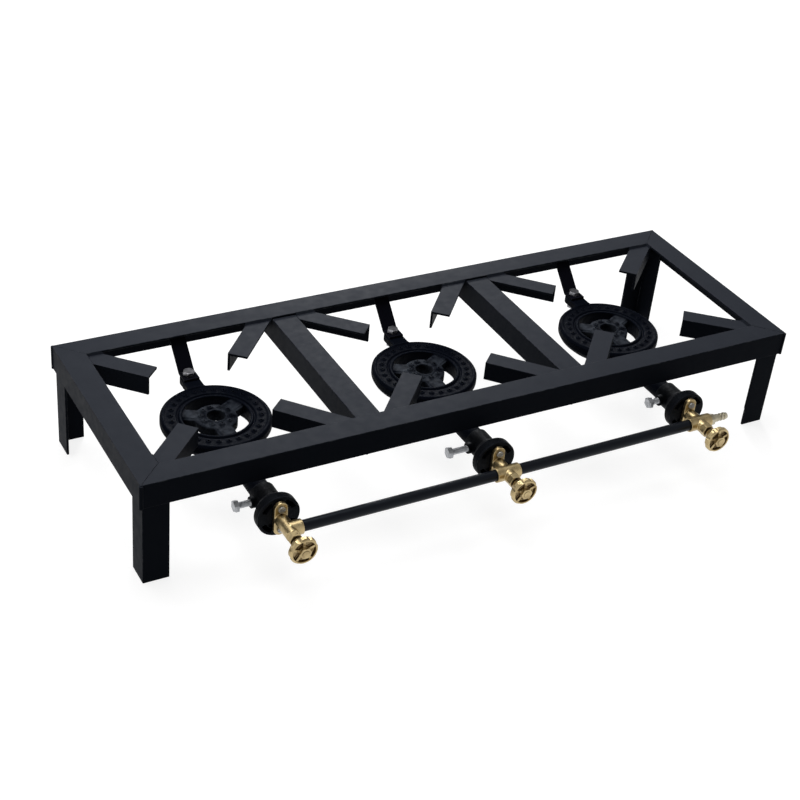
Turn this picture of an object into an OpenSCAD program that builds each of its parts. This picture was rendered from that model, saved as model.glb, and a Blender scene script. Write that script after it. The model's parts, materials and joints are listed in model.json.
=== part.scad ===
// Low three-burner gas stove: welded angle frame, cast ring burners, brass handwheel valves.
// Millimetres, +Z up. Origin: bottom centre of the whole part's box, on the floor.
// -Y is the front (valve side), -X the left.

/* [Frame] */
// length of the frame along X
frame_w = 890; // [820:5:1000]
// depth of the frame along Y
frame_d = 300; // [290:5:360]
// height from the floor to the top face
frame_h = 140; // [130:1:200]
// leg of the frame's angle section
angle_leg = 32; // [28:1:36]
// wall of the frame's angle section
angle_t = 3; // [2.5:0.5:4]
// radius of the weld bead up each outer corner
corner_weld_r = 2.5; // [1.5:0.5:3.5]
// how much shorter the burner row is than three equal bays
row_trim = 6; // [0:0.5:15]
// how far the middle burner sits left of the frame's centre
row_shift = 10; // [0:1:15]
// cross rail's place in its bay, as a share of the burner pitch
cross_share = 0.44; // [0.42:0.01:0.47]

/* [Pot supports] */
// leg of the pot support's angle section
lug_leg = 25; // [20:1:28]
// wall of the pot support's angle section
lug_t = 3; // [2.5:0.5:4]
// length of a pot support that shows inside its bay
lug_reach = 83; // [70:1:84]
// first bay's supports from the bay's corners: back left, back right, front left, front right
lug_inset_1 = [0, 19, 0, 18]; // [0:1:20]
// the same for the middle bay
lug_inset_2 = [6, 19, 19, 13]; // [0:1:20]
// the same for the last bay
lug_inset_3 = [8, 11, 18, 0]; // [0:1:20]
// how much longer than the others the first bay's supports are, in the same order
lug_more_1 = [3, 0, 0, 0]; // [0:1:8]
// the same for the middle bay
lug_more_2 = [7, 0, 0, 0]; // [0:1:8]
// the same for the last bay
lug_more_3 = [4, 0, 0, 6]; // [0:1:8]

/* [Burner] */
// outer radius of the cast ring
ring_r = 67; // [60:1:70]
// radial width of the cast ring
ring_band = 26; // [22:0.5:28]
// depth of the ring's top below the frame's top face
ring_drop = 42; // [38:1:50]
// outer radius of the small middle ring
hub_r = 26; // [22:1:27]
// radius of the hole in the middle ring
hub_hole_r = 12; // [9:0.5:13]
// width of a spoke
spoke_w = 22; // [16:1:22]
// number of flame ports in the outer ring
ring_ports = 28; // [20:1:32]
// number of flame ports in the middle ring
hub_ports = 10; // [6:1:12]
// radius of a flame port
port_r = 1.4; // [1:0.1:1.6]
// outer radius of the mixing tube
tube_r = 12.5; // [12:0.5:14]
// wall of the mixing tube
tube_wall = 3; // [2.5:0.5:3.5]
// depth of the mixing tube's axis below the ring's top
tube_drop = 21; // [20:0.5:24]

/* [Hanger] */
// width of the rear strap
strap_w = 20; // [16:1:24]
// thickness of the rear strap
strap_t = 3; // [2.5:0.5:4]
// bolt centre behind the ring's rim
hanger_out = 20; // [19:1:22]
// thickness of the ring's rear ear
ear_h = 10; // [8:1:11]
// radius of the hanger bolt
bolt_r = 4; // [3:0.5:4]

/* [Air mixer] */
// radius of the mixer's round face and of the air shutter
mixer_r = 26; // [25.5:0.5:29]
// length of the mixer from the tube's end to its face
mixer_len = 28; // [26:1:34]
// length of the tube held in the mixer's socket
socket_len = 16; // [14:1:20]
// wall of the mixer's socket
socket_wall = 3; // [2.5:0.5:4]
// thickness of the air shutter
shutter_t = 2.5; // [2:0.5:3]
// turn of the air shutter from open to shut
shutter_turn = 45; // [40:1:46]
// angle that one air window spans
window_angle = 42; // [34:1:43]
// radius of the side screw that locks the mixer on its tube
lock_r = 4; // [3:0.5:4]
// length of each burner's lock screw that shows
lock_reach = [15, 22, 11]; // [8:1:24]

/* [Valve] */
// radius of the valve's barrel
barrel_r = 8; // [7.5:0.5:9]
// distance from the mixer's face to the gas pipe's axis
pipe_out = 28; // [26:1:34]
// distance between the two flange screws
flange_pitch = 28; // [27:0.5:29]
// width of the valve's oval flange
flange_w = 16; // [15:0.5:18]
// outer radius of the gas pipe
pipe_r = 6.8; // [6:0.1:7]
// wall of the gas pipe
pipe_wall = 2.2; // [2:0.1:2.6]
// radius of the spindle
spindle_r = 4; // [3.5:0.5:4]
// radius of the handwheel
wheel_r = 17; // [16:0.5:20]
// number of grips round the handwheel
wheel_grips = 8; // [6:1:10]
// number of ribs in the handwheel's face
wheel_ribs = 5; // [3:1:6]
// radius of the hose tail
tail_r = 5; // [4.5:0.5:6]

/* [Hidden] */
$fn = 48;
round_fn = 48;
small_fn = 24;
port_fn = 8;
hex_fn = 6;
seat = 0.05;             // radial clearance of a screw in its own nut
run = 0.1;               // radial running clearance of the spindle
slide = 0.3;             // clearance round the air shutter
cut = 0.5;               // how far a cutter runs past a face

ring_deep = 22;          // height of the ring's casting
hub_deep = 17;           // height of the middle ring's casting
cast_wall = 4.5;         // wall round the ring's gas channel
channel_roof = 6;        // metal over the gas channels
channel_floor = 16;      // depth of the ring's gas channel
land_drop = 1;           // port land below the ring's top
groove_drop = 3;         // groove inside the port land
ridge_drop = 0.5;        // inner ridge below the ring's top
rim_w = 6;               // outer rim with its bevels
ridge_w = 4;             // inner ridge with its bevel
groove_w = 2;
bevel = 3;               // bevel of the rim and of the castings' lower edges
under_bevel = 10;        // how far the ring's underside draws in
spoke_drop = 2;
spoke_h = 13;
port_deep = 8;
ear_root = 4;            // how far the ear starts inside the rim
weld = 2.5;              // leg of the weld bead between a pot support and a rail's edge
weld_root = 1;           // how deep the bead is fused into the support's top
weld_over = 1;           // how far the bead runs past the support's sides

face_t = 3.5;            // thickness of the mixer's face
face_band = 8;           // cylindrical edge behind the mixer's face
collar_w = 3.5;          // collar round the valve's nose
flare_in = 3;            // wall of the flare
boss_r = 4;              // boss behind a flange screw
boss_len = 9;
lock_boss_r = 7;
lock_boss_out = 4.5;     // how far the side boss stands off the socket
window_in = 9;           // air windows, inward from the shutter's edge
window_w = 5.5;

nose_r = 7;              // valve's nose, which centres the mixer and the shutter
nose_len = 8;
gas_r = 2.5;             // gas way in the valve
orifice_r = 1.6;
flange_t = 5.5;
socket_r = 9;            // pipe sockets of the valve
socket_reach = 16;
pipe_seat = 7;
barrel_back = 3.5;
gland_len = 9;
gland_af = 15;
wheel_gap = 3;
wheel_len = 18;
wheel_nut_h = 3.5;
wheel_rim = 3;           // rim round the handwheel's dished face
wheel_dish = 4.5;        // depth of that dish
grip_r = 5;              // cutter of a grip
grip_cut = 1.4;          // how deep a grip is cut
wheel_hub = 3;           // wall of the handwheel's hub
rib_t = 3.2;
needle_r = 1.5;          // tip of the spindle's needle

nut_af = 13;
nut_h = 6.5;
head_h = 5.3;
bolt_tail = 2;           // bolt beyond its nut
lock_af = 13;
lock_head_h = 5.3;
screw_r = 2;
screw_head_r = 4;
screw_head_h = 2.6;
screw_slot = 1;          // width and depth of the slot in a screw's head
jet_af = 9;
jet_hex = 4;
jet_len = 10;
jet_tip_r = 2;
jet_hole_r = 0.6;
tail_hex = 6;
tail_land = 7;           // plain collar of the hose tail
tail_len = 22;
tail_ribs = 3;
barb = 1;                // height of the hose tail's barbs
tail_bore_r = 2.7;

bay_pitch = (frame_w - angle_leg - row_trim) / 3;
top_under = frame_h - angle_t;
inner_x = frame_w / 2 - angle_t;
inner_y = frame_d / 2 - angle_t;
ring_top = frame_h - ring_drop;
axis_z = ring_top - tube_drop;
ear_top = ring_top + 1;
ear_y = ring_r + hanger_out;
ear_r = strap_w / 2 + 1;
tube_end = frame_d / 2;
mixer_face = tube_end + mixer_len;
shutter_back = mixer_face + 0.2;
flange_back = shutter_back + shutter_t + slide;
pipe_y = mixer_face + pipe_out;
barrel_end = pipe_y + socket_r + barrel_back;
gland_end = barrel_end + gland_len;
wheel_back = gland_end + wheel_gap;
wheel_front = wheel_back + wheel_len;
spindle_end = wheel_front + wheel_nut_h + 0.5;
lock_y = tube_end - socket_len / 4;
weld_out = corner_weld_r - 1;
origin_y = (spindle_end - frame_d / 2 - weld_out) / 2;

function burner_x(i) = (i - 1) * bay_pitch - row_shift;
function cross_x(i) = burner_x(i) + bay_pitch * cross_share;
function bay_left(i) = i == 0 ? angle_leg - frame_w / 2 : cross_x(i - 1) + angle_leg;
function bay_right(i) = i == 2 ? frame_w / 2 - angle_leg : cross_x(i);
function lug_inset(i, k) = [lug_inset_1, lug_inset_2, lug_inset_3][i][k];
function lug_len(i, k) = lug_reach + [lug_more_1, lug_more_2, lug_more_3][i][k] + 2 * angle_leg;

// piece to draw, or all of them

module paint() {
  color([0.13, 0.14, 0.16]) children();
}

module iron() {
  color([0.07, 0.07, 0.09]) children();
}

module brass() {
  color([0.72, 0.58, 0.32]) children();
}

module zinc() {
  color([0.72, 0.72, 0.74]) children();
}

// from the frame's own centre to the part's origin
module place() {
  translate([0, origin_y, 0]) children();
}

// the forward direction of a gas axis becomes local +Z, up becomes local +Y
module gas_axis(i) {
  place() translate([burner_x(i), 0, axis_z]) rotate([90, 0, 0]) children();
}

module hex_prism(af, h) {
  cylinder(r = af / 2 / cos(30), h = h, $fn = hex_fn);
}

// hexagon with a turned chamfer on its far end
module hex_head(af, h) {
  intersection() {
    hex_prism(af, h);
    union() {
      cylinder(r = af, h = h - af / 12, $fn = small_fn);
      translate([0, 0, h - af / 12]) cylinder(r1 = af * 0.62, r2 = af / 2, h = af / 12, $fn = small_fn);
    }
  }
}

// one angle rail of the given length along X, outer corner on the X axis, mitred at both ends
module mitred_angle(len) {
  translate([0, 0, top_under]) linear_extrude(angle_t)
    polygon([
      [-len / 2, 0], [len / 2, 0], [len / 2 - angle_leg, angle_leg], [angle_leg - len / 2, angle_leg]
    ]);
  translate([0, 0, frame_h - angle_leg]) linear_extrude(angle_leg)
    polygon([
      [-len / 2, 0], [len / 2, 0], [len / 2 - angle_t, angle_t], [angle_t - len / 2, angle_t]
    ]);
}

module front_rail() {
  paint() place() translate([0, -frame_d / 2, 0]) mitred_angle(frame_w);
}

module back_rail() {
  paint() place() translate([0, frame_d / 2, 0]) rotate(180) mitred_angle(frame_w);
}

// side rail with the weld bead up both of its outer corners
module side_rail(s) {
  paint() place() {
    translate([s * frame_w / 2, 0, 0]) rotate(s * 90) mitred_angle(frame_d);
    for (e = [-1, 1]) difference() {
      translate([s * (frame_w / 2 - 1), e * (frame_d / 2 - 1), frame_h - angle_leg])
        cylinder(r = corner_weld_r, h = angle_leg - 1, $fn = small_fn);
      translate([0, e * frame_d / 2, 0]) rotate(e > 0 ? 180 : 0) mitred_angle(frame_w);
      translate([s * (inner_x - angle_leg / 2), e * (inner_y - angle_leg / 2), top_under - angle_leg / 2])
        cube(angle_leg, center = true);
    }
  }
}

module left_rail() {
  side_rail(-1);
}

module right_rail() {
  side_rail(1);
}

module cross_rail(i) {
  paint() place() translate([cross_x(i), -inner_y, 0]) {
    translate([0, 0, top_under - angle_t]) cube([angle_leg, 2 * inner_y, angle_t]);
    translate([0, 0, top_under - angle_leg]) cube([angle_t, 2 * inner_y, angle_leg]);
  }
}

module leg(sx, sy) {
  paint() place() scale([sx, sy, 1]) translate([inner_x, inner_y, 0]) {
    translate([-angle_leg, -angle_t, 0]) cube([angle_leg, angle_t, top_under]);
    translate([-angle_t, -angle_leg, 0]) cube([angle_t, angle_leg, top_under]);
  }
}

// weld bead along X in the corner between a rail's edge and a pot support's top, which lies toward +Y
module weld_bead() {
  rotate([90, 0, 90]) translate([0, 0, -2 * lug_leg]) linear_extrude(4 * lug_leg)
    polygon([[0, -weld_root], [weld, -weld_root], [weld, 0], [0, weld]]);
}

// pot support k from near one bay corner toward the burner; side is where its upright hangs
module pot_support(i, k, side) {
  sx = k % 2 == 0 ? -1 : 1;
  sy = k < 2 ? 1 : -1;
  corner_x = sx < 0 ? bay_left(i) : bay_right(i);
  px = corner_x - sx * lug_inset(i, k);
  py = sy * (frame_d / 2 - angle_leg);
  at_leg = (i == 0 && sx < 0) || (i == 2 && sx > 0);
  lim_x = at_leg ? sx * (inner_x - angle_t) : corner_x;
  lim_y = sy * (at_leg ? inner_y - angle_t : inner_y);
  turn = atan2(-py, burner_x(i) - px);
  intersection() {
    translate([px, py, 0]) rotate(turn) {
      translate([-2 * angle_leg, -lug_leg / 2, top_under - lug_t])
        cube([lug_len(i, k), lug_leg, lug_t]);
      translate([-2 * angle_leg, side > 0 ? lug_leg / 2 - lug_t : -lug_leg / 2, top_under - lug_leg])
        cube([lug_len(i, k), lug_t, lug_leg]);
    }
    translate([min(lim_x, lim_x - sx * bay_pitch), min(lim_y, lim_y - sy * frame_d), 0])
      cube([bay_pitch, frame_d, frame_h]);
  }
  intersection() {
    translate([px, py, top_under]) rotate(turn)
      translate([-2 * angle_leg, -lug_leg / 2 - weld_over, -2 * weld_root])
        cube([lug_len(i, k), lug_leg + 2 * weld_over, weld + 3 * weld_root]);
    translate([min(corner_x, corner_x - sx * bay_pitch), min(py, py - sy * frame_d), top_under - angle_t])
      cube([bay_pitch, frame_d, 2 * angle_t]);
    union() {
      translate([px, py, top_under]) rotate(sy > 0 ? 180 : 0) weld_bead();
      if (at_leg) translate([corner_x, py, top_under]) rotate(sx * 90) weld_bead();
    }
  }
}

module pot_supports(i) {
  paint() place() {
    pot_support(i, 0, i == 0 ? -1 : 1);
    pot_support(i, 1, i == 2 ? 1 : -1);
    pot_support(i, 2, -1);
    pot_support(i, 3, 1);
  }
}

// strap from the burner's ear up to the back rail, its side drawn in Y and Z
module strap(i) {
  foot_start = ear_y - ear_r;
  foot_end = ear_y + 8;
  tab_start = inner_y - 18;
  tab_z = top_under - strap_t;
  lean = atan2(tab_z - ear_top, tab_start - foot_end);
  shift = strap_t * tan(lean / 2);
  paint() place() translate([burner_x(i), 0, 0]) difference() {
    translate([-strap_w / 2, 0, 0]) rotate([90, 0, 90]) linear_extrude(strap_w) polygon([
      [foot_start, ear_top], [foot_end, ear_top], [tab_start, tab_z], [inner_y, tab_z],
      [inner_y, top_under], [tab_start - shift, top_under], [foot_end - shift, ear_top + strap_t],
      [foot_start, ear_top + strap_t]
    ]);
    translate([0, ear_y, ear_top - cut]) cylinder(r = bolt_r, h = strap_t + 2 * cut, $fn = small_fn);
  }
}

// hanger bolt from above, with its nut under the ear
module strap_bolt(i) {
  zinc() place() translate([burner_x(i), ear_y, 0]) {
    translate([0, 0, ear_top + strap_t]) hex_head(nut_af, head_h);
    translate([0, 0, ear_top - ear_h - nut_h - bolt_tail])
      cylinder(r = bolt_r, h = strap_t + ear_h + nut_h + bolt_tail + cut, $fn = small_fn);
    difference() {
      translate([0, 0, ear_top - ear_h - nut_h]) hex_prism(nut_af, nut_h);
      translate([0, 0, ear_top - ear_h - nut_h - cut])
        cylinder(r = bolt_r + seat, h = nut_h + 2 * cut, $fn = small_fn);
    }
  }
}

// section of the hollow cast ring: groove between an inner ridge and the port land
module ring_section() {
  ri = ring_r - ring_band;
  groove_r = ri + ridge_w;
  polygon([
    [ri + 1, ring_top - ring_deep], [ring_r - under_bevel, ring_top - ring_deep],
    [ring_r - bevel, ring_top - ring_deep + 2 * bevel], [ring_r, ring_top - ring_deep / 2],
    [ring_r, ring_top - bevel], [ring_r - bevel, ring_top], [ring_r - rim_w + 1, ring_top],
    [ring_r - rim_w, ring_top - land_drop], [groove_r + groove_w + 1, ring_top - land_drop],
    [groove_r + groove_w, ring_top - groove_drop], [groove_r, ring_top - groove_drop],
    [groove_r - 1, ring_top - ridge_drop], [ri, ring_top - ridge_drop]
  ]);
}

module ring_channel() {
  ri = ring_r - ring_band + cast_wall;
  ro = ring_r - cast_wall;
  polygon([
    [ri, ring_top - channel_floor], [ring_r - under_bevel - 1, ring_top - channel_floor],
    [ro, ring_top - ring_deep / 2], [ro, ring_top - channel_roof], [ri, ring_top - channel_roof]
  ]);
}

module hub_section() {
  polygon([
    [hub_hole_r, ring_top - hub_deep], [hub_r - bevel, ring_top - hub_deep],
    [hub_r, ring_top - hub_deep + bevel], [hub_r, ring_top - groove_drop],
    [hub_r - 2, ring_top - 2], [hub_hole_r + 3.5, ring_top - 2],
    [hub_hole_r + 2, ring_top - ridge_drop], [hub_hole_r, ring_top - ridge_drop]
  ]);
}

module hub_channel() {
  translate([hub_hole_r + 4, ring_top - 2 * channel_roof]) square([hub_r - hub_hole_r - 7.5, channel_roof]);
}

// ring of ports, drilled down into a gas channel
module ports(count, at_r) {
  for (k = [0 : count - 1]) rotate((k + 0.5) * 360 / count)
    translate([at_r, 0, ring_top - port_deep]) cylinder(r = port_r, h = port_deep + cut, $fn = port_fn);
}

// along the mixing tube's axis, from behind the middle ring's hole
module along_tube() {
  translate([0, 0, axis_z]) rotate([90, 0, 0]) translate([0, 0, hub_hole_r + 1]) children();
}

module burner(i) {
  iron() place() translate([burner_x(i), 0, 0]) difference() {
    union() {
      rotate_extrude($fn = round_fn) ring_section();
      rotate_extrude($fn = round_fn) hub_section();
      for (a = [30, 150, 270]) rotate(a)
        translate([hub_r - 3, -spoke_w / 2, ring_top - spoke_drop - spoke_h])
          cube([ring_r - ring_band - hub_r + 6, spoke_w, spoke_h]);
      along_tube() cylinder(r = tube_r, h = tube_end - hub_hole_r - 1, $fn = round_fn);
      translate([-ear_r, ring_r - ear_root, ear_top - ear_h])
        cube([2 * ear_r, hanger_out + ear_root, ear_h]);
      translate([0, ear_y, ear_top - ear_h]) cylinder(r = ear_r, h = ear_h, $fn = round_fn);
    }
    rotate_extrude($fn = round_fn) ring_channel();
    rotate_extrude($fn = round_fn) hub_channel();
    along_tube() translate([0, 0, 4]) cylinder(r = tube_r - tube_wall, h = tube_end, $fn = round_fn);
    ports(ring_ports, ring_r - ring_band / 2);
    ports(hub_ports, (hub_hole_r + hub_r) / 2);
    translate([0, ear_y, ear_top - ear_h - cut]) cylinder(r = bolt_r, h = ear_h + 2 * cut, $fn = small_fn);
  }
}

// four air windows, cut through a plate that lies from z0 to z0 + h
module windows(z0, h) {
  for (a = [45 : 90 : 315]) rotate(a - window_angle / 2)
    rotate_extrude(angle = window_angle, $fn = round_fn)
      translate([mixer_r - window_in, z0]) square([window_w, h]);
}

// air mixer: socket on the tube, flare, and a round face that carries the valve
module mixer(i) {
  socket = tube_r + socket_wall;
  back = tube_end - socket_len;
  flare = mixer_face - face_band;
  throat = tube_r - tube_wall;
  iron() gas_axis(i) difference() {
    union() {
      rotate_extrude($fn = round_fn) polygon([
        [tube_r, back], [socket, back], [socket, tube_end + 7], [mixer_r, flare], [mixer_r, mixer_face],
        [nose_r, mixer_face], [nose_r, flare], [nose_r + collar_w, flare],
        [nose_r + collar_w, mixer_face - face_t], [mixer_r - flare_in, mixer_face - face_t],
        [mixer_r - flare_in, flare + 1], [throat + 2, tube_end + 6],
        [throat, tube_end + 3], [throat, tube_end], [tube_r, tube_end]
      ]);
      for (s = [-1, 1]) translate([0, s * flange_pitch / 2, mixer_face - boss_len])
        cylinder(r = boss_r, h = boss_len, $fn = small_fn);
      translate([-socket - lock_boss_out, 0, lock_y]) rotate([0, 90, 0])
        cylinder(r = lock_boss_r, h = lock_boss_out + socket_wall / 2, $fn = small_fn);
    }
    translate([0, 0, back - cut]) cylinder(r = tube_r, h = tube_end - back + cut, $fn = round_fn);
    windows(mixer_face - face_t - cut, face_t + 2 * cut);
    for (s = [-1, 1]) translate([0, s * flange_pitch / 2, mixer_face - boss_len - cut])
      cylinder(r = screw_r, h = boss_len + 2 * cut, $fn = small_fn);
    translate([-socket - lock_boss_out - cut, 0, lock_y]) rotate([0, 90, 0])
      cylinder(r = lock_r, h = 2 * lock_boss_out + socket_wall, $fn = small_fn);
  }
}

// side screw that presses on the mixing tube
module lock_screw(i) {
  out = tube_r + socket_wall + lock_boss_out + lock_reach[i];
  zinc() gas_axis(i) translate([0, 0, lock_y]) rotate([0, -90, 0]) {
    translate([0, 0, tube_r]) cylinder(r = lock_r, h = out - tube_r, $fn = small_fn);
    translate([0, 0, out]) hex_head(lock_af, lock_head_h);
  }
}

// air shutter: turns on the valve's nose, its two arc slots run round the flange screws
module air_shutter(i) {
  slot_r = screw_r + slide;
  arc_r = screw_r + slide / 2;
  iron() gas_axis(i) difference() {
    translate([0, 0, shutter_back]) cylinder(r = mixer_r, h = shutter_t, $fn = round_fn);
    translate([0, 0, shutter_back - cut])
      cylinder(r = nose_r + slide, h = shutter_t + 2 * cut, $fn = round_fn);
    windows(shutter_back - cut, shutter_t + 2 * cut);
    for (a = [90, 270]) {
      rotate(a - shutter_turn) rotate_extrude(angle = shutter_turn, $fn = round_fn)
        translate([flange_pitch / 2 - arc_r, shutter_back - cut])
          square([2 * arc_r, shutter_t + 2 * cut]);
      for (b = [0, shutter_turn]) rotate(a - b) translate([flange_pitch / 2, 0, shutter_back - cut])
        cylinder(r = slot_r, h = shutter_t + 2 * cut, $fn = small_fn);
    }
  }
}

// valve body: nose in the mixer, oval flange, barrel, and a pipe socket on each side named
module valve_body(i, sides) {
  brass() gas_axis(i) difference() {
    union() {
      translate([0, 0, mixer_face - nose_len])
        cylinder(r = nose_r, h = flange_back - mixer_face + nose_len + 1, $fn = round_fn);
      translate([-flange_w / 2, -flange_pitch / 2, flange_back]) cube([flange_w, flange_pitch, flange_t]);
      for (s = [-1, 1]) translate([0, s * flange_pitch / 2, flange_back])
        cylinder(r = flange_w / 2, h = flange_t, $fn = round_fn);
      translate([0, 0, flange_back]) cylinder(r = barrel_r, h = barrel_end - flange_back, $fn = round_fn);
      for (s = sides) translate([0, 0, pipe_y]) rotate([0, s * 90, 0])
        cylinder(r = socket_r, h = socket_reach, $fn = round_fn);
    }
    translate([0, 0, mixer_face - nose_len - cut])
      cylinder(r = gas_r, h = pipe_out + nose_len - 6, $fn = small_fn);
    translate([0, 0, mixer_face]) cylinder(r = orifice_r, h = pipe_out, $fn = small_fn);
    translate([0, 0, pipe_y - 2]) cylinder(r = spindle_r + run, h = barrel_end, $fn = small_fn);
    for (s = sides) translate([0, 0, pipe_y]) rotate([0, s * 90, 0]) {
      cylinder(r = pipe_r - pipe_wall, h = socket_reach, $fn = small_fn);
      translate([0, 0, socket_reach - pipe_seat]) cylinder(r = pipe_r, h = pipe_seat + cut, $fn = round_fn);
    }
    for (s = [-1, 1]) translate([0, s * flange_pitch / 2, flange_back - cut])
      cylinder(r = screw_r, h = flange_t + 2 * cut, $fn = small_fn);
  }
}

// two slotted screws that hold the valve's flange on the mixer
module flange_screws(i) {
  head = flange_back + flange_t;
  start = mixer_face - boss_len;
  zinc() gas_axis(i) for (s = [-1, 1]) translate([0, s * flange_pitch / 2, 0]) difference() {
    union() {
      translate([0, 0, start]) cylinder(r = screw_r, h = head - start + cut, $fn = small_fn);
      translate([0, 0, head]) cylinder(r = screw_head_r, h = screw_head_h, $fn = small_fn);
    }
    translate([-screw_head_r - cut, -screw_slot / 2, head + screw_head_h - screw_slot])
      cube([2 * screw_head_r + 2 * cut, screw_slot, 2 * screw_slot]);
  }
}

// gas jet in the valve's nose
module jet(i) {
  end = mixer_face - nose_len;
  start = end - jet_len;
  brass() gas_axis(i) difference() {
    union() {
      translate([0, 0, end - jet_hex]) hex_prism(jet_af, jet_hex);
      translate([0, 0, start])
        cylinder(r1 = jet_tip_r, r2 = jet_af * 0.4, h = jet_len - jet_hex, $fn = small_fn);
    }
    translate([0, 0, start - cut]) cylinder(r = jet_hole_r, h = jet_len, $fn = port_fn);
    translate([0, 0, start + jet_hex]) cylinder(r = jet_tip_r, h = jet_len, $fn = small_fn);
  }
}

module gland_nut(i) {
  brass() gas_axis(i) translate([0, 0, barrel_end]) difference() {
    hex_head(gland_af, gland_len);
    translate([0, 0, -cut]) cylinder(r = spindle_r + run, h = gland_len + 2 * cut, $fn = small_fn);
  }
}

module spindle(i) {
  brass() gas_axis(i) {
    translate([0, 0, pipe_y + 1]) cylinder(r = spindle_r, h = spindle_end - pipe_y - 1, $fn = small_fn);
    translate([0, 0, pipe_y - 1]) cylinder(r1 = needle_r, r2 = 2 * needle_r, h = 2, $fn = small_fn);
  }
}

// dished wheel with scalloped grips, ribs and a hub
module handwheel(i) {
  hub = spindle_r + wheel_hub;
  floor = wheel_front - wheel_dish;
  brass() gas_axis(i) difference() {
    union() {
      difference() {
        rotate_extrude($fn = round_fn) polygon([
          [0, wheel_back], [hub, wheel_back], [hub + 1, wheel_back + 3],
          [wheel_r - 2.5, floor - wheel_dish], [wheel_r, floor - 2], [wheel_r, wheel_front - 2],
          [wheel_r - 1.5, wheel_front], [wheel_r - wheel_rim, wheel_front],
          [wheel_r - wheel_rim - 1, floor], [hub, floor], [hub, wheel_front], [0, wheel_front]
        ]);
        for (k = [0 : wheel_grips - 1]) rotate((k + 0.5) * 360 / wheel_grips)
          translate([wheel_r + grip_r - grip_cut, 0, wheel_back])
            cylinder(r = grip_r, h = wheel_len + cut, $fn = small_fn);
      }
      for (k = [0 : wheel_ribs - 1]) rotate(90 + k * 360 / wheel_ribs)
        translate([spindle_r + 2, -rib_t / 2, floor - 1])
          cube([wheel_r - wheel_rim - spindle_r - 2.5, rib_t, wheel_dish - 0.5]);
    }
    translate([0, 0, wheel_back - cut])
      cylinder(r = spindle_r + run, h = wheel_len + 2 * cut, $fn = small_fn);
  }
}

module wheel_nut(i) {
  brass() gas_axis(i) translate([0, 0, wheel_front]) difference() {
    hex_head(nut_af, wheel_nut_h);
    translate([0, 0, -cut]) cylinder(r = spindle_r + run, h = wheel_nut_h + 2 * cut, $fn = small_fn);
  }
}

// gas pipe between valve i and the next one
module gas_pipe(i) {
  start = socket_reach - pipe_seat;
  len = bay_pitch - 2 * start;
  paint() place() translate([burner_x(i) + start, -pipe_y, axis_z]) rotate([0, 90, 0]) difference() {
    cylinder(r = pipe_r, h = len, $fn = round_fn);
    translate([0, 0, -cut]) cylinder(r = pipe_r - pipe_wall, h = len + 2 * cut, $fn = round_fn);
  }
}

// barbed tail for the gas hose, in the last valve's outer socket
module hose_tail() {
  start = socket_reach - pipe_seat;
  land = start + pipe_seat + tail_hex;
  step = (tail_len - tail_land) / tail_ribs;
  core_r = (tail_bore_r + tail_r - barb) / 2;
  brass() place() translate([burner_x(2), -pipe_y, axis_z]) rotate([0, 90, 0]) difference() {
    union() {
      translate([0, 0, start]) cylinder(r = pipe_r, h = pipe_seat, $fn = round_fn);
      translate([0, 0, start + pipe_seat]) hex_prism(2 * pipe_r, tail_hex);
      translate([0, 0, start + 1]) cylinder(r = core_r, h = land + tail_len - start - 2, $fn = small_fn);
      translate([0, 0, land]) cylinder(r = tail_r, h = tail_land, $fn = round_fn);
      for (k = [0 : tail_ribs - 1]) translate([0, 0, land + tail_land + k * step])
        cylinder(r1 = tail_r, r2 = tail_r - barb, h = step, $fn = small_fn);
    }
    translate([0, 0, start - cut]) cylinder(r = tail_bore_r, h = land + tail_len, $fn = small_fn);
  }
}

front_rail();
back_rail();
left_rail();
right_rail();
cross_rail(0);  // cross_rail_1
cross_rail(1);  // cross_rail_2
leg(-1, -1);  // leg_front_left
leg(1, -1);  // leg_front_right
leg(-1, 1);  // leg_back_left
leg(1, 1);  // leg_back_right
pot_supports(0);  // pot_supports_1
pot_supports(1);  // pot_supports_2
pot_supports(2);  // pot_supports_3
strap(0);  // strap_1
strap(1);  // strap_2
strap(2);  // strap_3
strap_bolt(0);  // strap_bolt_1
strap_bolt(1);  // strap_bolt_2
strap_bolt(2);  // strap_bolt_3
burner(0);  // burner_1
burner(1);  // burner_2
burner(2);  // burner_3
mixer(0);  // mixer_1
mixer(1);  // mixer_2
mixer(2);  // mixer_3
lock_screw(0);  // lock_screw_1
lock_screw(1);  // lock_screw_2
lock_screw(2);  // lock_screw_3
air_shutter(0);  // air_shutter_1
air_shutter(1);  // air_shutter_2
air_shutter(2);  // air_shutter_3
valve_body(0, [1]);  // valve_body_1
valve_body(1, [-1, 1]);  // valve_body_2
valve_body(2, [-1, 1]);  // valve_body_3
flange_screws(0);  // flange_screws_1
flange_screws(1);  // flange_screws_2
flange_screws(2);  // flange_screws_3
jet(0);  // jet_1
jet(1);  // jet_2
jet(2);  // jet_3
gland_nut(0);  // gland_nut_1
gland_nut(1);  // gland_nut_2
gland_nut(2);  // gland_nut_3
spindle(0);  // spindle_1
spindle(1);  // spindle_2
spindle(2);  // spindle_3
handwheel(0);  // handwheel_1
handwheel(1);  // handwheel_2
handwheel(2);  // handwheel_3
wheel_nut(0);  // wheel_nut_1
wheel_nut(1);  // wheel_nut_2
wheel_nut(2);  // wheel_nut_3
gas_pipe(0);  // gas_pipe_1
gas_pipe(1);  // gas_pipe_2
hose_tail();
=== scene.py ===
import json
import math

import bmesh
import bpy
from mathutils import Euler, Matrix, Vector

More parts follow.
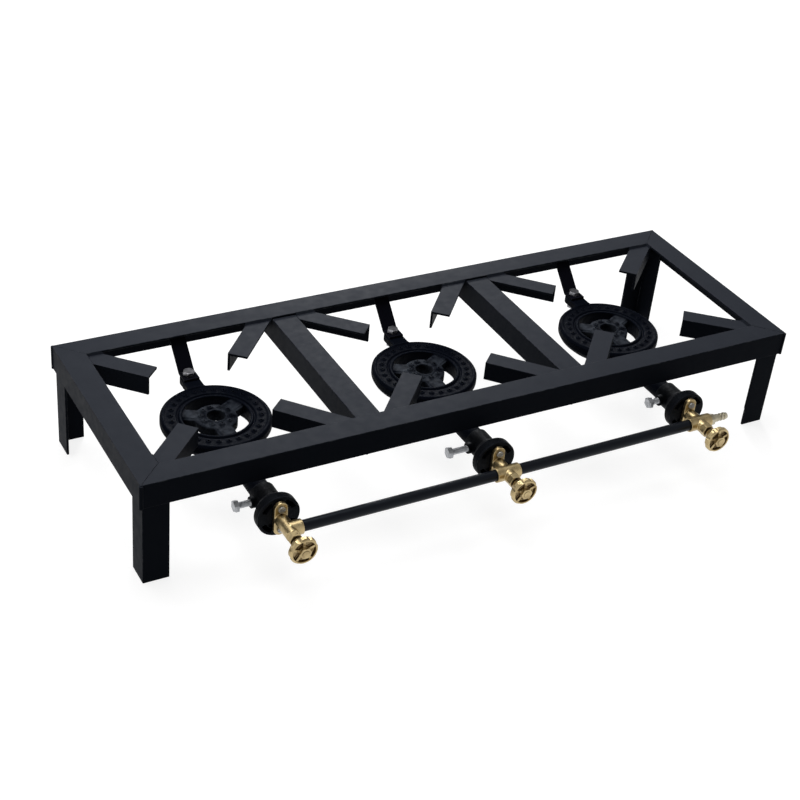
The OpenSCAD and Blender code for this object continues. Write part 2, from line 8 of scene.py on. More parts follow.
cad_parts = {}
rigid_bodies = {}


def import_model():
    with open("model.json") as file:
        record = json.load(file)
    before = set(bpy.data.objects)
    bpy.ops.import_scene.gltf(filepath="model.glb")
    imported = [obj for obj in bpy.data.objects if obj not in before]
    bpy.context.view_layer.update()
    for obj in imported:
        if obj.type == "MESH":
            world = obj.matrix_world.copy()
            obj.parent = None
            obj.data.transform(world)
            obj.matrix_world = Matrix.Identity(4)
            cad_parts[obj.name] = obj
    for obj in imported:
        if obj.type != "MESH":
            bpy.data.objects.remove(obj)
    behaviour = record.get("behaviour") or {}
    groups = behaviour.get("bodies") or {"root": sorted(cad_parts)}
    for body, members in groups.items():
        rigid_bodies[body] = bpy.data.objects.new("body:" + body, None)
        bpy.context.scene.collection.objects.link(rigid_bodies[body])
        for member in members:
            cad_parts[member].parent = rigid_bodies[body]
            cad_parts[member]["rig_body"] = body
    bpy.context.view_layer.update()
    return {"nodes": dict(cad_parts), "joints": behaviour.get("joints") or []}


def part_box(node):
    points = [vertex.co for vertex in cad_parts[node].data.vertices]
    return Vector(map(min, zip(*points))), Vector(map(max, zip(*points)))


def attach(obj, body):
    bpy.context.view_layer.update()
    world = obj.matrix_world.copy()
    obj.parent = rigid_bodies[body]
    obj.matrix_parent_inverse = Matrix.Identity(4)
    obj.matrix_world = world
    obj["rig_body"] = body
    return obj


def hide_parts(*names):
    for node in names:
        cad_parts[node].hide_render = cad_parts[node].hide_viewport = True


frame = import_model()
cadNodes = frame["nodes"]
mm = 0.001
bays = (1, 2, 3)

# places that everything else is worked out from
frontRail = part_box("front_rail")
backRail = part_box("back_rail")
midY = (frontRail[0].y + backRail[1].y) / 2  # the burners' centres lie on this line
topZ = frontRail[1].z
joints = {joint["name"]: joint for joint in frame["joints"]}
burnerX = {bay: joints[f"air_shutter_{bay}_turn"]["pos_m"][0] for bay in bays}
print("frame loaded:", len(cadNodes), "nodes")


# camera

cameraLook = {
    "place": (-0.92119, -1.43970, 1.18778),  # metres from the middle of the frame, at the floor
    "angles": (56.044, -4.839, -28.180),  # degrees
    "lens": 71.856,
    "sensor": 36,
    "farthest": 30,
}


def setCamera(look):
    data = bpy.data.cameras.new("camera")
    data.lens = look["lens"]
    data.sensor_width = look["sensor"]
    data.clip_end = look["farthest"]
    camera = bpy.data.objects.new("camera", data)
    camera.location = Vector(look["place"]) + Vector((0, midY, 0))
    camera.rotation_euler = Euler([math.radians(angle) for angle in look["angles"]])
    bpy.context.collection.objects.link(camera)
    bpy.context.scene.camera = camera


setCamera(cameraLook)
print("camera set")


# short calls for node trees

noiseSpan = (0.3, 0.7)  # most values of a noise texture lie between these
upSpan = (0.6, 0.95)  # upward share of a face's direction at which it starts, and is sure, to look up


def startMaterial(name):
    material = bpy.data.materials.new(name)
    material.use_nodes = True
    tree = material.node_tree
    tree.nodes.clear()
    output = tree.nodes.new("ShaderNodeOutputMaterial")
    shader = tree.nodes.new("ShaderNodeBsdfPrincipled")
    tree.links.new(shader.outputs["BSDF"], output.inputs["Surface"])
    return material, tree, shader


def noiseOf(tree, size, detail):  # size: metres across one blotch
    coordinates = tree.nodes.new("ShaderNodeTexCoord")
    noise = tree.nodes.new("ShaderNodeTexNoise")
    noise.inputs["Scale"].default_value = 1 / size
    noise.inputs["Detail"].default_value = detail
    tree.links.new(coordinates.outputs["Object"], noise.inputs["Vector"])
    return noise.outputs["Fac"]


def rangeOf(tree, value, low, high, newLow, newHigh):
    node = tree.nodes.new("ShaderNodeMapRange")
    node.inputs["From Min"].default_value = low
    node.inputs["From Max"].default_value = high
    node.inputs["To Min"].default_value = newLow
    node.inputs["To Max"].default_value = newHigh
    tree.links.new(value, node.inputs["Value"])
    return node.outputs["Result"]


def mathOf(tree, operation, first, second):
    node = tree.nodes.new("ShaderNodeMath")
    node.operation = operation
    for socket, value in zip(node.inputs, (first, second)):
        if isinstance(value, (int, float)):
            socket.default_value = value
        else:
            tree.links.new(value, socket)
    return node.outputs["Value"]


def colourBetween(tree, amount, first, second):
    node = tree.nodes.new("ShaderNodeMix")
    node.data_type = "RGBA"
    tree.links.new(amount, node.inputs["Factor"])
    for socket, value in ((node.inputs["A"], first), (node.inputs["B"], second)):
        if isinstance(value, tuple):
            socket.default_value = (*value, 1)
        else:
            tree.links.new(value, socket)
    return node.outputs["Result"]


def bumpOf(tree, height, depth, under=None):  # depth: metres from the lowest to the highest point
    node = tree.nodes.new("ShaderNodeBump")
    node.inputs["Distance"].default_value = depth
    tree.links.new(height, node.inputs["Height"])
    if under is not None:
        tree.links.new(under, node.inputs["Normal"])
    return node.outputs["Normal"]


def fromAxis(tree):  # metres from the vertical line through the object's origin
    coordinates = tree.nodes.new("ShaderNodeTexCoord")
    flat = tree.nodes.new("ShaderNodeVectorMath")
    flat.operation = "MULTIPLY"
    flat.inputs[1].default_value = (1, 1, 0)
    length = tree.nodes.new("ShaderNodeVectorMath")
    length.operation = "LENGTH"
    tree.links.new(coordinates.outputs["Object"], flat.inputs[0])
    tree.links.new(flat.outputs["Vector"], length.inputs[0])
    return length.outputs["Value"]


def upOf(tree):  # 1 on the faces that look up
    geometry = tree.nodes.new("ShaderNodeNewGeometry")
    split = tree.nodes.new("ShaderNodeSeparateXYZ")
    tree.links.new(geometry.outputs["Normal"], split.inputs["Vector"])
    return rangeOf(tree, split.outputs["Z"], *upSpan, 0, 1)


def edgeOf(tree):  # 1 on the narrow faces of a rounded edge
    node = tree.nodes.new("ShaderNodeAttribute")
    node.attribute_name = "edgeFace"
    return node.outputs["Fac"]


def setRoughness(tree, shader, noise, limits):
    tree.links.new(rangeOf(tree, noise, *noiseSpan, *limits), shader.inputs["Roughness"])


def setSheen(shader, look):
    shader.inputs["Specular IOR Level"].default_value = look["specular"]
    shader.inputs["Specular Tint"].default_value = (*look["sheen"], 1)


# materials
# a span gives the values at which an effect starts and is full, a share how far it goes at its fullest,
# and two shares how far it goes at its start and at its fullest

paintLook = {
    "colour": (0.0092, 0.0114, 0.0168),
    "patches": (0.0072, 0.0089, 0.0132),
    "worn": (0.046, 0.050, 0.058),  # rubbed edges
    "dust": (0.0225, 0.0255, 0.0335),  # dust on the faces that look up, together with a painted sheen that makes those tops lighter
    "dustAndSheenShares": (1, 0.8),
    "wearSpan": (0.46, 0.68),
    "roughness": (0.44, 0.54),
    "specular": 0.017,
    "sheen": (0.76, 0.87, 1),
    "orangePeel": 1.6 * mm,
    "peelDepth": 0.05 * mm,
    "blotch": 34 * mm,
    "wearSize": 9 * mm,
}
strapPaintLook = {
    **paintLook,
    "colour": (0.004, 0.004, 0.007),
    "patches": (0.003, 0.003, 0.005),
    "worn": (0.020, 0.021, 0.026),
    "dust": (0.004, 0.004, 0.007),
    "specular": 0.02,
}
pipePaintLook = {
    **paintLook,
    "colour": (0.005, 0.006, 0.009),
    "patches": (0.004, 0.004, 0.007),
    "dust": (0.005, 0.006, 0.009),
    "roughness": (0.28, 0.38),
    "specular": 0.16,
}


def makePaint(name, look):
    material, tree, shader = startMaterial(name)
    blotches = noiseOf(tree, look["blotch"], 4)
    colour = colourBetween(tree, blotches, look["colour"], look["patches"])
    # painted sheen: faces that look up are made lighter, partly as dust and partly standing in for their
    # sheen
    upwardDustAndSheen = mathOf(tree, "MULTIPLY", upOf(tree), rangeOf(tree, blotches, *noiseSpan, *look["dustAndSheenShares"]))
    colour = colourBetween(tree, upwardDustAndSheen, colour, look["dust"])
    wear = rangeOf(tree, noiseOf(tree, look["wearSize"], 5), *look["wearSpan"], 0, 1)
    worn = mathOf(tree, "MULTIPLY", edgeOf(tree), wear)
    colour = colourBetween(tree, worn, colour, look["worn"])
    tree.links.new(colour, shader.inputs["Base Color"])
    setRoughness(tree, shader, noiseOf(tree, look["blotch"] / 3, 5), look["roughness"])
    setSheen(shader, look)
    peel = bumpOf(tree, noiseOf(tree, look["orangePeel"], 2), look["peelDepth"])
    tree.links.new(peel, shader.inputs["Normal"])
    return material


castLook = {
    "colour": (0.0022, 0.0025, 0.0036),
    "dust": (0.0080, 0.0090, 0.0120),  # grey dust in blotches, and a painted highlight on the parts that stand proud
    "proudSpan": (0.495, 0.53),
    "proudShare": 0.75,
    "dustSpan": (0.42, 0.7),
    "dustShare": 0.6,
    "roughness": (0.42, 0.66),
    "specular": 0.05,
    "sheen": (0.72, 0.85, 1),
    "grain": 1.1 * mm,
    "grainDepth": 0.25 * mm,
    "lump": 6 * mm,
    "lumpDepth": 0.5 * mm,
    "blotch": 22 * mm,
}
burnerIronLook = {
    **castLook,
    "colour": (0.0018, 0.0025, 0.0052),
    "dust": (0.0050, 0.0065, 0.0110),
    "heated": (0.031, 0.036, 0.046),  # grey scale where the flames heat the iron
    "heatedSpan": (40.5 * mm, 37 * mm),  # from the axis
    "flakeSpan": (0.36, 0.66),
    "specular": 0.014,
}


def makeCastIron(name, look):
    material, tree, shader = startMaterial(name)
    geometry = tree.nodes.new("ShaderNodeNewGeometry")
    # painted highlight: the parts that stand proud are made lighter
    proudHighlight = rangeOf(tree, geometry.outputs["Pointiness"], *look["proudSpan"], 0, look["proudShare"])
    blotches = rangeOf(tree, noiseOf(tree, look["blotch"], 5), *look["dustSpan"], 0, look["dustShare"])
    dustAndHighlight = mathOf(tree, "MAXIMUM", proudHighlight, blotches)
    colour = colourBetween(tree, dustAndHighlight, look["colour"], look["dust"])
    if "heated" in look:
        heat = rangeOf(tree, fromAxis(tree), *look["heatedSpan"], 0, 1)
        flakes = rangeOf(tree, noiseOf(tree, look["blotch"] / 2, 3), *look["flakeSpan"], 0, 1)
        colour = colourBetween(tree, mathOf(tree, "MULTIPLY", heat, flakes), colour, look["heated"])
    tree.links.new(colour, shader.inputs["Base Color"])
    setRoughness(tree, shader, noiseOf(tree, look["lump"], 4), look["roughness"])
    setSheen(shader, look)
    lumps = bumpOf(tree, noiseOf(tree, look["lump"], 2), look["lumpDepth"])
    grain = bumpOf(tree, noiseOf(tree, look["grain"], 4), look["grainDepth"], lumps)
    tree.links.new(grain, shader.inputs["Normal"])
    return material


brassLook = {
    "colour": (0.52, 0.41, 0.22),
    "tarnish": (0.24, 0.17, 0.085),
    "tarnishSpan": (0.45, 0.75),
    "tarnishShares": (0.05, 0.8),
    "hollowShade": (0.075, 0.042, 0.020),  # painted shade, darker where the brass is enclosed
    "hollow": 7 * mm,
    "hollowSpan": (0.8, 0.35),  # how open the place is
    "hollowShare": 0.9,
    "hollowRays": 16,
    "roughness": (0.26, 0.42),
    "grain": 0.8 * mm,
    "grainDepth": 0.05 * mm,
    "blotch": 11 * mm,
}
paleBrassLook = {
    **brassLook,
    "colour": (0.50, 0.46, 0.35),
    "tarnish": (0.24, 0.21, 0.15),
}


def makeBrass(name, look):
    material, tree, shader = startMaterial(name)
    tarnish = rangeOf(tree, noiseOf(tree, look["blotch"], 5), *look["tarnishSpan"], *look["tarnishShares"])
    shelter = tree.nodes.new("ShaderNodeAmbientOcclusion")
    shelter.samples = look["hollowRays"]
    shelter.inputs["Distance"].default_value = look["hollow"]
    # painted shade: darker brass where the occlusion rays find the place enclosed
    hollow = rangeOf(tree, shelter.outputs["AO"], *look["hollowSpan"], 0, look["hollowShare"])
    colour = colourBetween(tree, tarnish, look["colour"], look["tarnish"])
    tree.links.new(colourBetween(tree, hollow, colour, look["hollowShade"]), shader.inputs["Base Color"])
    shader.inputs["Metallic"].default_value = 1
    setRoughness(tree, shader, noiseOf(tree, look["blotch"] / 3, 4), look["roughness"])
    grain = bumpOf(tree, noiseOf(tree, look["grain"], 3), look["grainDepth"])
    tree.links.new(grain, shader.inputs["Normal"])
    return material


zincLook = {
    "colour": (0.43, 0.44, 0.46),
    "dull": (0.22, 0.23, 0.24),
    "dullSpan": (0.4, 0.7),
    "dullShare": 0.8,
    "roughness": (0.30, 0.46),
    "grain": 0.5 * mm,
    "grainDepth": 0.03 * mm,
    "blotch": 5 * mm,
}
dullZincLook = {
    **zincLook,
    "colour": (0.30, 0.30, 0.32),
    "dull": (0.11, 0.11, 0.12),
}


def makeZinc(name, look):
    material, tree, shader = startMaterial(name)
    dull = rangeOf(tree, noiseOf(tree, look["blotch"], 4), *look["dullSpan"], 0, look["dullShare"])
    tree.links.new(colourBetween(tree, dull, look["colour"], look["dull"]), shader.inputs["Base Color"])
    shader.inputs["Metallic"].default_value = 1
    setRoughness(tree, shader, noiseOf(tree, look["blotch"] / 2, 3), look["roughness"])
    grain = bumpOf(tree, noiseOf(tree, look["grain"], 2), look["grainDepth"])
    tree.links.new(grain, shader.inputs["Normal"])
    return material


paint = makePaint("satinBlackPaint", paintLook)
strapPaint = makePaint("flatBlackPaint", strapPaintLook)
pipePaint = makePaint("glossBlackPaint", pipePaintLook)
castIron = makeCastIron("roughBlackCasting", castLook)
burnerIron = makeCastIron("heatedBlackCasting", burnerIronLook)
brass = makeBrass("castBrass", brassLook)
paleBrass = makeBrass("paleBrass", paleBrassLook)
zinc = makeZinc("zincPlate", zincLook)
dullZinc = makeZinc("dullZincPlate", dullZincLook)
print("materials made")


# forms

meshLook = {  # angles in degrees
    "samePoint": 0.002 * mm,  # points nearer than this are one
    "flatAngle": 0.5,  # faces that meet at less are one face
    "edgeAngle": 33,  # faces that meet at more have a rounded edge between them
    "edgeSteps": 2,
    "smoothing": 0.5,
    "creaseAngle": 62,  # a casting's faces that meet at more are shaded with a sharp line
}


def placePiece(name, mesh, material, body, stands, at=(0, 0, 0)):
    mesh.materials.clear()
    mesh.materials.append(material)
    piece = bpy.data.objects.new(name, mesh)
    piece.location = at
    bpy.context.collection.objects.link(piece)
    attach(piece, body)
    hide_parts(*stands)


def finishedMesh(name, mesh, steps):  # steps: (modifier type, its settings)
    draft = bpy.data.objects.new(name + "Draft", mesh)
    bpy.context.collection.objects.link(draft)
    for kind, settings in steps:
        modifier = draft.modifiers.new(kind, kind)
        for key, value in settings.items():
            setattr(modifier, key, value)
    bpy.context.view_layer.update()
    shaped = draft.evaluated_get(bpy.context.evaluated_depsgraph_get())
    result = bpy.data.meshes.new_from_object(shaped)
    result.name = name
    bpy.data.objects.remove(draft)
    return result


def plainName(node):  # front_rail becomes frontRail
    first, *rest = node.split("_")
    return first + "".join(word.capitalize() for word in rest)


def cleanCopy(node):
    shape = bmesh.new()
    shape.from_mesh(cadNodes[node].data)
    bmesh.ops.remove_doubles(shape, verts=shape.verts, dist=meshLook["samePoint"])
    flat = math.radians(meshLook["flatAngle"])
    bmesh.ops.dissolve_limit(shape, angle_limit=flat, verts=shape.verts, edges=shape.edges)
    for face in shape.faces:
        face.smooth = True
    mesh = bpy.data.meshes.new(node + "Copy")
    shape.to_mesh(mesh)
    shape.free()
    return mesh


def markEdges(mesh):  # the bevel's faces come in with material number 1
    marks = mesh.attributes.new("edgeFace", "FLOAT", "FACE")
    for face in mesh.polygons:
        marks.data[face.index].value = float(face.material_index)
        face.material_index = 0


def roundedNode(node, radius, material):
    mesh = cleanCopy(node)
    mesh.materials.append(material)
    mesh.materials.append(material)
    bevel = {
        "width": radius,
        "segments": meshLook["edgeSteps"],
        "limit_method": "ANGLE",
        "angle_limit": math.radians(meshLook["edgeAngle"]),
        "miter_outer": "MITER_ARC",
        "material": 1,
    }
    name = plainName(node)
    mesh = finishedMesh(name, mesh, [("BEVEL", bevel), ("WEIGHTED_NORMAL", {"keep_sharp": True})])
    markEdges(mesh)
    placePiece(name, mesh, material, cadNodes[node]["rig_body"], [node])


# painted steel: rails, legs, supports, straps and pipes with rounded edges

steelLook = {
    "rolledEdge": 0.8 * mm,
    "cutEdge": 0.5 * mm,
}

for node in ("front_rail", "back_rail", "left_rail", "right_rail", "cross_rail_1", "cross_rail_2"):
    roundedNode(node, steelLook["rolledEdge"], paint)
for node in ("leg_front_left", "leg_front_right", "leg_back_left", "leg_back_right"):
    roundedNode(node, steelLook["rolledEdge"], paint)
for bay in bays:
    roundedNode(f"pot_supports_{bay}", steelLook["rolledEdge"], paint)
    roundedNode(f"strap_{bay}", steelLook["cutEdge"], strapPaint)
for node in ("gas_pipe_1", "gas_pipe_2"):
    roundedNode(node, steelLook["cutEdge"], pipePaint)
print("painted steel done")


# solid forms in millimetres


def around(radius, turn, height):
    return radius * math.cos(turn), radius * math.sin(turn), height


def addLathe(shape, outline, steps=96):  # closed outline of (radius, height)
    rings = []
    for step in range(steps):
        turn = 2 * math.pi * step / steps
        across = Vector((math.cos(turn), math.sin(turn), 0))
        rings.append([shape.verts.new(across * r + Vector((0, 0, z))) for r, z in outline])
    for ring, following in zip(rings, rings[1:] + rings[:1]):
        for k in range(len(outline)):
            after = (k + 1) % len(outline)
            shape.faces.new((ring[k], following[k], following[after], ring[after]))


def addRod(shape, start, end, radius, endRadius=None, steps=48):
    axis = Vector(end) - Vector(start)
    turn = axis.to_track_quat("Z", "Y").to_matrix().to_4x4()
    bmesh.ops.create_cone(
        shape,
        cap_ends=True,
        segments=steps,
        radius1=radius,
        radius2=radius if endRadius is None else endRadius,
        depth=axis.length,
        matrix=Matrix.Translation((Vector(start) + Vector(end)) / 2) @ turn,
    )


def addBlock(shape, low, high, place=Matrix()):
    middle = (Vector(low) + Vector(high)) / 2
    size = Vector(high) - Vector(low)
    stretch = Matrix.Diagonal((*size, 1))
    bmesh.ops.create_cube(shape, size=1, matrix=place @ Matrix.Translation(middle) @ stretch)


def finishedForm(name, shape):  # closes the form, and brings it from millimetres to metres
    bmesh.ops.recalc_face_normals(shape, faces=shape.faces)
    bmesh.ops.scale(shape, vec=(mm, mm, mm), verts=shape.verts)
    mesh = bpy.data.meshes.new(name)
    shape.to_mesh(mesh)
    shape.free()
    return mesh


def castSkin(name, mesh, voxel, rounds, cutters=None):  # joins the forms under one soft skin
    steps = [
        ("REMESH", {"mode": "VOXEL", "voxel_size": voxel}),
        ("SMOOTH", {"factor": meshLook["smoothing"], "iterations": rounds}),
    ]
    tool = None
    if cutters is not None:
        tool = bpy.data.objects.new(name + "Cutters", cutters)
        bpy.context.collection.objects.link(tool)
        steps.append(("BOOLEAN", {"object": tool, "operation": "DIFFERENCE", "solver": "MANIFOLD"}))
    result = finishedMesh(name, mesh, steps)
    if tool:
        bpy.data.objects.remove(tool)
    for face in result.polygons:
        face.use_smooth = True
    result.set_sharp_from_angle(angle=math.radians(meshLook["creaseAngle"]))
    return result


# burners: rough castings with raised ports

burnerLook = {  # millimetres
    "ringR": 67,
    "band": 26,
    "deep": 22,
    "topBelowFrame": 42,
    "draft": 1,  # the ring's inside is wider by this at the bottom
    # outline points: (distance from the outer edge or the hole, distance from the bottom or the top)
    "ringFoot": ((10, 0), (3, 6), (0, 11)),  # outer edge, bottom
    "ringRim": ((0, 3), (3, 0), (5, 0), (6, 1)),  # outer edge, top
    "ringLip": ((7, 1), (6, 3), (4, 3), (3, 0.5), (0, 0.5)),  # hole, top, with a groove outside it
    "hubR": 26,
    "hubHoleR": 11,
    "hubDeep": 17,
    "hubFoot": ((3, 0), (0, 3)),
    "hubRim": ((0, 3), (2, 2)),
    "hubLip": ((3.5, 2), (2, 0.5), (0, 0.5)),
    "spokes": (30, 150, 270),
    "spokeW": 22,
    "spokeDeep": 13,
    "spokeDrop": 2,
    "spokeStep": (2.5, 1.5),  # the top is narrower by the first on each side, and higher by the second
    "spokeCap": 3,  # depth of that narrower top
    "spokeBury": 3,  # how far its ends reach into the ring and the hub
    "tubeR": 12.5,
    "tubeDrop": 21,
    "tubeStart": 1,  # beyond the hub's hole
    "tubeEnd": 150,
    "earY": 87,
    "earR": 11,
    "earDeep": 10,
    "earRise": 1,
    "earBury": 5,
    "ringPorts": 28,
    "ringFaceDrop": 1,
    "hubPorts": 10,
    "hubFaceDrop": 2,
    "portR": 1.3,
    "portDeep": 7,
    "portSides": 12,
    "ringNipple": (3.1, 2.2, 1.6),  # radius at the foot and at the top, height
    "hubNipple": (3.9, 2.5, 2.4),
    "nippleSides": 20,
    "voxel": 0.8 * mm,
    "rounds": 3,
}


def addPorts(shape, cutters, count, radius, height, nipple, look):
    foot, top, rise = nipple
    for k in range(count):
        turn = 2 * math.pi * (k + 0.5) / count
        middle = Vector(around(radius, turn, height))
        reach = Vector((0, 0, rise))  # the cone starts as far below the face as it ends above it
        addRod(shape, middle - reach, middle + reach, foot + (foot - top), top, look["nippleSides"])
        sink = Vector((0, 0, look["portDeep"]))
        addRod(cutters, middle - sink, middle + sink, look["portR"], steps=look["portSides"])


def addRing(shape, outer, hole, low, top, draft, edges):
    foot, rim, lip = edges
    addLathe(shape, [
        (hole + draft, low),
        *((outer - across, low + rise) for across, rise in foot),
        *((outer - across, top - drop) for across, drop in rim),
        *((hole + across, top - drop) for across, drop in lip),
    ])


def addSpoke(shape, inner, outer, top, place, look):
    start = inner - look["spokeBury"]
    end = outer + look["spokeBury"]
    half = look["spokeW"] / 2
    side, rise = look["spokeStep"]
    addBlock(shape, (start, -half, top - look["spokeDeep"]), (end, half, top - rise), place)
    addBlock(shape, (start, side - half, top - look["spokeCap"]), (end, half - side, top), place)


def makeBurner(look):
    shape = bmesh.new()
    cutters = bmesh.new()
    top = topZ / mm - look["topBelowFrame"]
    outer = look["ringR"]
    inner = outer - look["band"]
    low = top - look["deep"]
    ringEdges = (look["ringFoot"], look["ringRim"], look["ringLip"])
    addRing(shape, outer, inner, low, top, look["draft"], ringEdges)
    hub, hole = look["hubR"], look["hubHoleR"]
    hubLow = top - look["hubDeep"]
    hubEdges = (look["hubFoot"], look["hubRim"], look["hubLip"])
    addRing(shape, hub, hole, hubLow, top, 0, hubEdges)
    for angle in look["spokes"]:
        turn = Matrix.Rotation(math.radians(angle), 4, "Z")
        addSpoke(shape, hub, inner, top - look["spokeDrop"], turn, look)
    tubeZ = top - look["tubeDrop"]
    addRod(shape, (0, -hole - look["tubeStart"], tubeZ), (0, -look["tubeEnd"], tubeZ), look["tubeR"])
    earR, earY = look["earR"], look["earY"]
    earTop = top + look["earRise"]
    earLow = earTop - look["earDeep"]
    addRod(shape, (0, earY, earLow), (0, earY, earTop), earR)
    addBlock(shape, (-earR, outer - look["earBury"], earLow), (earR, earY, earTop))
    ringFace = top - look["ringFaceDrop"]
    hubFace = top - look["hubFaceDrop"]
    addPorts(shape, cutters, look["ringPorts"], outer - look["band"] / 2, ringFace, look["ringNipple"], look)
    addPorts(shape, cutters, look["hubPorts"], (hole + hub) / 2, hubFace, look["hubNipple"], look)
    form = finishedForm("burnerForm", shape)
    mesh = castSkin("burner", form, look["voxel"], look["rounds"], finishedForm("burnerCutters", cutters))
    for bay in bays:
        at = (burnerX[bay], midY, 0)
        placePiece(f"burner{bay}", mesh, burnerIron, "frame", [f"burner_{bay}"], at)


makeBurner(burnerLook)
print("burners done")


# mixers, valves and small parts: the CAD solids with a soft skin or rounded edges

skinLook = {
    "mixerVoxel": 0.6 * mm,
    "valveVoxel": 0.42 * mm,
    "wheelVoxel": 0.38 * mm,
    "nutVoxel": 0.25 * mm,
    "rounds": 2,
    "machinedEdge": 0.3 * mm,
    "screwEdge": 0.18 * mm,
}


def skinnedNode(node, voxel, material):
    name = plainName(node)
    mesh = castSkin(name, cleanCopy(node), voxel, skinLook["rounds"])
    placePiece(name, mesh, material, cadNodes[node]["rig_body"], [node])


for bay in bays:
    skinnedNode(f"mixer_{bay}", skinLook["mixerVoxel"], castIron)
    skinnedNode(f"valve_body_{bay}", skinLook["valveVoxel"], brass)
    skinnedNode(f"handwheel_{bay}", skinLook["wheelVoxel"], brass)
    roundedNode(f"air_shutter_{bay}", skinLook["machinedEdge"], castIron)
    for kind in ("gland_nut", "wheel_nut"):
        skinnedNode(f"{kind}_{bay}", skinLook["nutVoxel"], brass)
    for kind in ("spindle", "jet"):
        roundedNode(f"{kind}_{bay}", skinLook["machinedEdge"], brass)
    roundedNode(f"flange_screws_{bay}", skinLook["screwEdge"], zinc)
    skinnedNode(f"strap_bolt_{bay}", skinLook["nutVoxel"], dullZinc)
skinnedNode("hose_tail", skinLook["nutVoxel"], paleBrass)
print("mixers, valves and small parts done")


# lock screws with cut threads

screwLook = {  # millimetres
    "threadR": 4,
    "threadDeep": 0.5,
    "pitch": 1.25,
    "headAcross": 13,
    "headH": 5.3,
    "headLevels": ((1, 0), (1, 0.78), (0.93, 0.92), (0.86, 1)),  # (share of the width, share of the height)
    "sides": 24,
    "rows": 6,  # rows of points to one turn of the thread
}


def joinRings(shape, rings):  # a closed solid from rings of points, the lowest first
    sides = len(rings[0])
    for ring, following in zip(rings, rings[1:]):
        for k in range(sides):
            after = (k + 1) % sides
            shape.faces.new((ring[k], ring[after], following[after], following[k]))
    shape.faces.new(reversed(rings[0]))
    shape.faces.new(rings[-1])


def addThread(shape, length, look):  # along +Z from the origin
    sides, rows = look["sides"], look["rows"]
    rings = []
    for row in range(int(length / look["pitch"] * rows) + 1):
        ring = []
        for k in range(sides):
            phase = (row / rows - k / sides) % 1
            radius = look["threadR"] - look["threadDeep"] * (1 - abs(2 * phase - 1))
            turn = 2 * math.pi * k / sides
            ring.append(shape.verts.new(around(radius, turn, row / rows * look["pitch"])))
        rings.append(ring)
    joinRings(shape, rings)


def addHexHead(shape, base, look):  # along +Z, with a chamfer on its far end
    corner = look["headAcross"] / 2 / math.cos(math.radians(30))
    rings = []
    for share, rise in look["headLevels"]:
        height = base + rise * look["headH"]
        rings.append([
            shape.verts.new(around(corner * share, math.radians(60 * k), height)) for k in range(6)
        ])
    joinRings(shape, rings)


def makeLockScrew(bay, look):
    low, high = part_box(f"lock_screw_{bay}")
    length = (high.x - low.x) / mm - look["headH"]
    shape = bmesh.new()
    addThread(shape, length, look)
    addHexHead(shape, length, look)
    turn = Matrix.Rotation(math.radians(-90), 4, "Y")  # +Z becomes -X
    bmesh.ops.transform(shape, matrix=turn, verts=shape.verts)
    mesh = finishedForm(f"lockScrew{bay}", shape)
    at = (high.x, (low.y + high.y) / 2, (low.z + high.z) / 2)
    placePiece(f"lockScrew{bay}", mesh, zinc, "frame", [f"lock_screw_{bay}"], at)


for bay in bays:
    makeLockScrew(bay, screwLook)
print("lock screws done")


# floor, backdrop and lamps

studioLook = {
    "floor": (0.28, 0.28, 0.28),
    "floorDarker": 0.97,  # share of that colour in its darker blotches
    "floorBlotch": 1.5,
    "floorRough": 0.9,
    "floorShown": 0.86,  # what the floor adds where the camera or a reflection sees it
    "floorSize": 14,
    "ambient": 0.12,
    "zenith": 0.30,  # how bright a reflection finds the sky overhead
    "lamps": (
        # name, place, where it points, size, watts
        ("overhead", (-0.25, 0.60, 2.20), (0, 0, 0.1), 1.6, 38),
        ("behind", (1.70, 3.40, 1.95), (0, 0, 0.1), 1.1, 92),
        ("left", (-2.20, 0.45, 0.95), (0, 0, 0.1), 1.2, 6),
    ),
}


def seenOf(tree):  # 1 for what the camera sees, directly or in a reflection
    path = tree.nodes.new("ShaderNodeLightPath")
    seen = mathOf(tree, "MAXIMUM", path.outputs["Is Camera Ray"], path.outputs["Is Glossy Ray"])
    return mathOf(tree, "MAXIMUM", seen, path.outputs["Is Transmission Ray"])


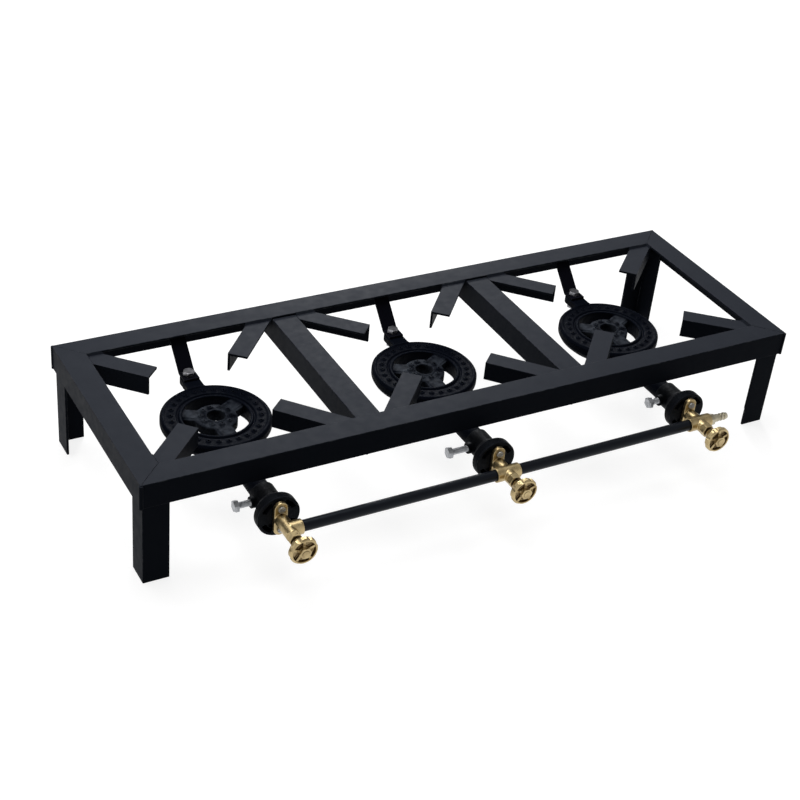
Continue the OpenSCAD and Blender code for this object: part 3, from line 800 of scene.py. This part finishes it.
def makeFloor(look):
    material, tree, shader = startMaterial("paleFloor")
    shader.inputs["Roughness"].default_value = look["floorRough"]
    shader.inputs["Specular IOR Level"].default_value = 0
    blotches = noiseOf(tree, look["floorBlotch"], 2)
    darker = tuple(value * look["floorDarker"] for value in look["floor"])
    tree.links.new(colourBetween(tree, blotches, look["floor"], darker), shader.inputs["Base Color"])
    shader.inputs["Emission Color"].default_value = (1, 1, 1, 1)
    shown = mathOf(tree, "MULTIPLY", seenOf(tree), look["floorShown"])
    tree.links.new(shown, shader.inputs["Emission Strength"])
    bpy.ops.mesh.primitive_plane_add(size=look["floorSize"], location=(0, midY, 0))
    floor = bpy.context.object
    floor.name = "floor"
    floor.data.materials.append(material)


def makeSky(look):
    world = bpy.data.worlds.new("studio")
    bpy.context.scene.world = world
    world.use_nodes = True
    tree = world.node_tree
    background = tree.nodes["Background"]
    path = tree.nodes.new("ShaderNodeLightPath")
    coordinates = tree.nodes.new("ShaderNodeTexCoord")
    split = tree.nodes.new("ShaderNodeSeparateXYZ")
    tree.links.new(coordinates.outputs["Generated"], split.inputs["Vector"])
    mirrored = rangeOf(tree, split.outputs["Z"], 0, 1, 1, look["zenith"])
    glossy = mathOf(tree, "MAXIMUM", path.outputs["Is Glossy Ray"], path.outputs["Is Transmission Ray"])
    dark = mathOf(tree, "MULTIPLY", glossy, mirrored)
    seen = mathOf(tree, "MAXIMUM", path.outputs["Is Camera Ray"], dark)
    tree.links.new(mathOf(tree, "MAXIMUM", seen, look["ambient"]), background.inputs["Strength"])
    background.inputs["Color"].default_value = (1, 1, 1, 1)


def makeLamps(look):
    for name, place, target, size, watts in look["lamps"]:
        data = bpy.data.lights.new(name, "AREA")
        data.shape = "DISK"
        data.size = size
        data.energy = watts
        lamp = bpy.data.objects.new(name, data)
        lamp.location = Vector(place) + Vector((0, midY, 0))
        aim = Vector(target) - Vector(place)
        lamp.rotation_euler = aim.to_track_quat("-Z", "Y").to_euler()
        bpy.context.collection.objects.link(lamp)


makeFloor(studioLook)
makeSky(studioLook)
makeLamps(studioLook)
bpy.context.scene.view_settings.view_transform = "Standard"
print("studio set")
